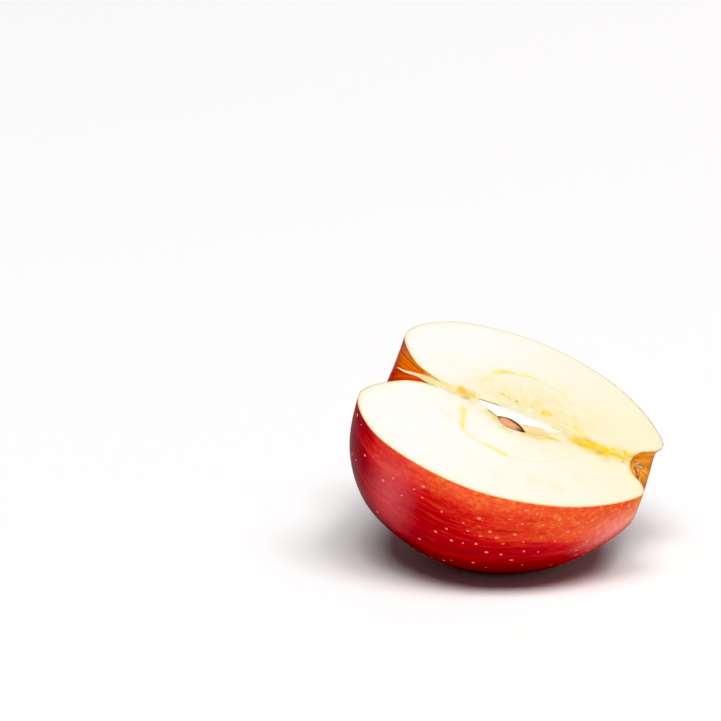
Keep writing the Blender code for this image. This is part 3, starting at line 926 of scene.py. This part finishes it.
lining = add_piece("chamber_lining", loft(lining_rings()))
cut(lining, loft(seed_rings(SEED_GAP, TOOL_TOP)))
shade_lining(lining.data)
lay_down(lining.data)
dress(lining, lining_material())
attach(lining, "root")
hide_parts("apple_half")

# Seed. The one seed that the knife met, almond-shaped, sliced along its length: a salmon kernel inside a
# thin brown coat. Its pointed tip is darkest, partly the coat's end and partly painted shade. It sits in its
# pocket at the chamber's near side.
KERNEL_SINK, KERNEL_CROWN = 0.12, 0.10  # below the coat's cut edge, and back up at its middle
KERNEL_EDGE = 0.3                   # from the outline, where the sink is full
RIND, RIND_FAR = 0.32, 0.46         # width of the coat's cut edge, and what the far side has more
TIP_COAT_AND_SHADE, STEM_COAT = 1.9, 0.8      # how far the coat covers the two ends, with painted shade at the tip


def seed_material():
    """Brown coat round a pale kernel; the coat's brown also paints shade at the pointed tip."""
    surface, tree, shader = new_material("seed")
    place = stored(tree, "place", "Vector")
    streak = cloud(tree, scaled(tree, place, (0.8, 2.4, 2.4)), 1.0, 3.0)
    kernel = blend(tree, spread(tree, streak, 0.35, 0.65), (0.72, 0.27, 0.15, 1), (0.87, 0.43, 0.24, 1))
    coat = blend(tree, spread(tree, streak, 0.35, 0.65), (0.05, 0.012, 0.006, 1), (0.16, 0.045, 0.018, 1))
    colour = blend(tree, stored(tree, "coat"), kernel, coat)
    fill(tree, shader, {
        "Base Color": colour,
        "Roughness": 0.32,
        "Subsurface Weight": 0.1,
        "Subsurface Scale": 0.001,
        "Normal": relief_of(tree, streak, 0.0001, 0.4),
    })
    return surface


def seed_mesh():
    """The sliced seed, its kernel slightly sunk inside the coat's cut edge."""
    length, width, depth = SEED_SIZE
    stations, columns, steps = 80, 36, 24
    rings = []
    for k in range(stations + 1):
        t = k / stations
        swell = seed_swell(t)
        half = width / 2 * swell
        ring = []
        for column in range(columns + 1):
            v = 2 * column / columns - 1
            edge = min(half * (1 - abs(v)), (1 - abs(2 * t - 1)) * length / 2)
            crown = KERNEL_CROWN * (1 - v * v) * math.sin(math.pi * t)
            sink = KERNEL_SINK * min(edge / KERNEL_EDGE, 1.0) - crown
            ring.append(((t - 0.5) * length, half * v, -sink))
        ring += underside((t - 0.5) * length, 0.0, half, depth * swell, steps)
        rings.append(where_seed_lies(ring))
    return loft(rings)


seed = add_piece("seed_sliced", seed_mesh())
seed_places = own_places(seed.data) / MM
seed_local = (seed_places[:, :2] - SEED_CENTRE) @ SEED_AXES
seed_t = np.clip(seed_local[:, 0] / SEED_SIZE[0] + 0.5, 0.0, 1.0)
seed_half = SEED_SIZE[1] / 2 * seed_swell(seed_t)
side_gap = seed_half - np.abs(seed_local[:, 1])
tip_gap = (1 - seed_t) * SEED_SIZE[0]
upper_side = np.clip(seed_local[:, 1] * 2, 0, 1) * np.clip(seed_t * 4 - 0.6, 0, 1)
lower_left = np.clip(-seed_local[:, 1] * 2, 0, 1) * np.clip(2.6 - seed_t * 5, 0, 1)
rind = np.clip(1.5 - side_gap / (RIND + RIND_FAR * upper_side), 0, 1) * (1 - 0.7 * lower_left)
# The coat at the pointed tip, widened with painted shade.
coat = np.maximum(rind, np.clip(1.5 - tip_gap / TIP_COAT_AND_SHADE, 0, 1))
coat = np.maximum(coat, 0.75 * np.clip(1.5 - seed_t * SEED_SIZE[0] / STEM_COAT, 0, 1))
coat = np.maximum(coat, np.clip((-0.32 - seed_places[:, 2]) / 0.1, 0, 1))
keep(seed.data, "coat", coat)
lay_down(seed.data)
dress(seed, seed_material())
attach(seed, "root")
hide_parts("seed")

# Stalk. The woody stub, split lengthwise by the knife: pale fibres between two thin brown edges of bark,
# running out to a pale splinter in the cavity and grown into the flesh at its inner end.
STALK_STATIONS = 70
STALK_DEPTH = 0.6                   # of the stub below the cut, for each unit of its half width
BARK = 0.16                         # width of each brown edge


def stalk_material():
    """Split wood: pale fibres, brown at its bark, grown into the stained flesh at its inner end."""
    surface, tree, shader = new_material("stalk")
    place = stored(tree, "place", "Vector")
    along = node(tree, "ShaderNodeSeparateXYZ", {0: place}).outputs[0]
    fibres = cloud(tree, scaled(tree, place, (0.45, 5.0, 5.0)), 1.0, 4.0)
    wood = blend(tree, spread(tree, along, -29, -23), (0.90, 0.66, 0.58, 1), (0.86, 0.62, 0.27, 1))
    wood = blend(tree, spread(tree, fibres, 0.5, 0.68, 0.0, 0.45), wood, (0.62, 0.36, 0.09, 1))
    wood = blend(tree, stored(tree, "bark"), wood, (0.36, 0.16, 0.03, 1))
    colour = blend(tree, spread(tree, along, -22.5, -19), wood, flesh_colour(tree))
    fill(tree, shader, {
        "Base Color": colour,
        "Roughness": 0.5,
        "Normal": relief_of(tree, fibres, 0.0002, 0.5),
    })
    return surface


def stalk_mesh():
    """Half-round stalk whose split face has raised fibres."""
    columns, steps = 20, 14
    rings = []
    for along, middle, half in resampled(open_spline(STALK), STALK_STATIONS):
        ring = []
        for column in range(columns + 1):
            v = 2 * column / columns - 1
            fibre = noise.noise(Vector((along * 0.25, v * 5.0, 4.2)))
            ring.append((along, middle + half * v, -0.03 + 0.10 * fibre * (1 - v * v) * min(half, 1.0)))
        rings.append(ring + underside(along, middle, half, STALK_DEPTH * half, steps))
    return loft(rings)


stalk = add_piece("stalk_split", stalk_mesh())
stalk_places = own_places(stalk.data) / MM
stalk_path = resampled(open_spline(STALK), STALK_STATIONS)
stalk_middle = np.interp(stalk_places[:, 0], stalk_path[:, 0], stalk_path[:, 1])
stalk_half = np.interp(stalk_places[:, 0], stalk_path[:, 0], stalk_path[:, 2])
bark = np.clip(1.5 - (stalk_half - np.abs(stalk_places[:, 1] - stalk_middle)) / BARK, 0, 1)
bark *= np.interp(stalk_places[:, 0], (-29, -26, -18, -14), (0, 0.8, 0.9, 0.1))
bark = np.maximum(bark, np.clip((-0.25 - stalk_places[:, 2]) / 0.15, 0, 1))
keep(stalk.data, "bark", bark)
stain_flesh(stalk.data)
lay_down(stalk.data)
dress(stalk, stalk_material())
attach(stalk, "root")
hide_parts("stalk")

# Sepals. Three dried, papery points of the flower's cup, brown and curled, left standing round the
# floor of the calyx basin.
SEPAL_ANGLES = {"sepal_near": 24.0, "sepal_low": 84.0, "sepal_far": 142.0}
SEPAL_LENGTH = 3.8
SEPAL_WIDTH = 2.2
SEPAL_FOOT = (30.8, 1.6)
SEPAL_LEAN = math.radians(34.0)
SEPAL_CURL = math.radians(38.0)
SEPAL_CUP, SEPAL_WAVE, SEPAL_CRUMPLE = 0.35, 0.12, 0.22
SEPAL_TIP = 0.08                    # half width left at the tip
SEPAL_NECK = 0.4                    # fraction of the width at the foot, full by the middle
SEPAL_TAPER = 0.65                  # below 1 the sides stay full and close in near the tip
SEPAL_RIPPLES = (9.0, 2.0)          # radians of the wave along the length, across half the width
SEPAL_PAPER = 0.22 * MM


def sepal_mesh(around, seed_number):
    """Thin pointed sepal that leaves the basin floor and curls outwards, crumpled along its edges."""
    rows, columns = 36, 14
    along, out = SEPAL_FOOT
    points = []
    for row in range(rows + 1):
        t = row / rows
        angle = SEPAL_LEAN + SEPAL_CURL * t
        waist = SEPAL_NECK + (1 - SEPAL_NECK) * min(2 * t, 1)
        half = SEPAL_WIDTH / 2 * (1 - t) ** SEPAL_TAPER * waist + SEPAL_TIP
        for column in range(columns + 1):
            side = 2 * column / columns - 1
            crumple = noise.noise(Vector((t * 4, side * 1.8, seed_number)))
            ripple = math.sin(SEPAL_RIPPLES[0] * t + SEPAL_RIPPLES[1] * side)
            cup = SEPAL_CUP * side * side + SEPAL_WAVE * ripple + SEPAL_CRUMPLE * crumple * (0.3 + t)
            points.append((along + cup * math.sin(angle), cup * math.cos(angle) - out, half * side))
        along += math.cos(angle) * SEPAL_LENGTH / rows
        out += math.sin(angle) * SEPAL_LENGTH / rows
    turn = np.array(Matrix.Rotation(math.radians(around), 3, "X"))
    return mesh_from([MM * (turn @ np.array(point)) for point in points], grid_faces(rows + 1, columns + 1))


def sepal_material():
    """Dry brown paper, paler along its veins."""
    surface, tree, shader = new_material("sepal")
    place = stored(tree, "place", "Vector")
    veins = cloud(tree, scaled(tree, place, (1.2, 3.0, 3.0)), 1.0, 4.0)
    colour = blend(tree, spread(tree, veins, 0.35, 0.65), (0.36, 0.13, 0.025, 1), (0.84, 0.44, 0.15, 1))
    fill(tree, shader, {
        "Base Color": colour,
        "Roughness": 0.75,
        "Normal": relief_of(tree, veins, 0.0002, 0.6),
    })
    return surface


dried = sepal_material()
for count, (name, around) in enumerate(SEPAL_ANGLES.items()):
    leaf = add_piece("dried_" + name, sepal_mesh(around, 3.1 * count))
    paper = leaf.modifiers.new("paper", "SOLIDIFY")
    paper.thickness = SEPAL_PAPER
    paper.offset = 0.0
    applied(leaf)
    lay_down(leaf.data)
    dress(leaf, dried)
    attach(leaf, "root")
    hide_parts(name)

# Studio. A white table under three soft strips of light from the front, with a pale, slightly rosy backdrop
# all round and a dark screen behind on the left. The camera has a long lens and the photograph's angle.
CAMERA_AZIMUTH = math.radians(15.3)
CAMERA_ELEVATION = math.radians(14.0)
CORE_RIGHT, CORE_BELOW, CORE_AHEAD = 36.05 * MM, 12.34 * MM, 472.7 * MM

FLOOR_REACH = 12.0
FLOOR_DROP = 0.00002                # below the fruit, so that the two surfaces don't share a plane
floor_mesh = bpy.data.meshes.new("table")
floor_corners = [(x * FLOOR_REACH, y * FLOOR_REACH) for x, y in ((-1, -1), (1, -1), (1, 1), (-1, 1))]
floor_mesh.from_pydata([(x, y, half_low.z - FLOOR_DROP) for x, y in floor_corners], [], [(0, 1, 2, 3)])
table = add_piece("table", floor_mesh)
table_surface, table_tree, table_shader = new_material("table")
fill(table_tree, table_shader, {
    "Base Color": (0.97, 0.97, 0.97, 1), "Roughness": 0.6, "Specular IOR Level": 0.2,
})
table.data.materials.append(table_surface)

BACKDROP_LIGHT = 0.5
CEILING_LIGHT = 0.06
SCREEN_SIDE = (-0.85, 0.50, 0.15)
STRIP_AZIMUTHS = (-5, 22, 49)       # degrees
STRIP_ELEVATION = 57
STRIP_WIDTH = math.radians(20)
STRIP_ENERGY = 1.13


def studio_world():
    """A pale, rosy backdrop round the table and a dim ceiling, with a dark screen behind on the left."""
    studio = bpy.data.worlds.new("studio")
    studio.use_nodes = True
    tree = studio.node_tree
    toward = node(tree, "ShaderNodeTexCoord", {}).outputs["Generated"]
    split = node(tree, "ShaderNodeSeparateXYZ", {0: toward})
    height = split.outputs[2]
    backdrop = spread(tree, height, 0.22, 0.5, BACKDROP_LIGHT, CEILING_LIGHT)
    side = node(tree, "ShaderNodeVectorMath", {0: toward, 1: SCREEN_SIDE}, operation="DOT_PRODUCT")
    screen = spread(tree, side.outputs["Value"], 0.55, 0.85, 1.0, 0.15)
    tree.links.new(times(tree, backdrop, screen), tree.nodes["Background"].inputs["Strength"])
    tree.nodes["Background"].inputs["Color"].default_value = (1.0, 0.86, 0.86, 1)
    return studio


bpy.context.scene.world = studio_world()


def place_light(light, azimuth, elevation, distance):
    """Puts a light round the fruit, turned to face it; azimuth 0 is the near side, 90 the right."""
    thing = bpy.data.objects.new(light.name, light)
    a, e = math.radians(azimuth), math.radians(elevation)
    away = Vector((math.sin(a) * math.cos(e), -math.cos(a) * math.cos(e), math.sin(e)))
    thing.location = core + away * distance
    thing.rotation_euler = away.to_track_quat("Z", "Y").to_euler()
    bpy.context.scene.collection.objects.link(thing)


for count, azimuth in enumerate(STRIP_AZIMUTHS):
    strip = bpy.data.lights.new(f"strip_{count}", "SUN")
    strip.angle = STRIP_WIDTH
    strip.energy = STRIP_ENERGY
    place_light(strip, azimuth, STRIP_ELEVATION, 1.0)

right = Vector((math.cos(CAMERA_AZIMUTH), math.sin(CAMERA_AZIMUTH), 0))
behind = Vector((
    math.sin(CAMERA_AZIMUTH) * math.cos(CAMERA_ELEVATION),
    -math.cos(CAMERA_AZIMUTH) * math.cos(CAMERA_ELEVATION),
    math.sin(CAMERA_ELEVATION),
))
up = behind.cross(right)
camera_data = bpy.data.cameras.new("camera")
camera_data.lens = 100
camera_data.sensor_width = 36
camera = bpy.data.objects.new("camera", camera_data)
camera.matrix_world = Matrix((right, up, behind)).transposed().to_4x4()
camera.location = core - right * CORE_RIGHT + up * CORE_BELOW + behind * CORE_AHEAD
bpy.context.scene.collection.objects.link(camera)
bpy.context.scene.camera = camera

# The print of the photograph is contrasty: its darks are near black and its whites clip.
print_look = bpy.context.scene.view_settings
print_look.view_transform = "Standard"
print_look.use_curve_mapping = True
print_look.curve_mapping.black_level = (0.015, 0.015, 0.015)
print_look.curve_mapping.white_level = (0.92, 0.92, 0.92)
print_look.curve_mapping.update()
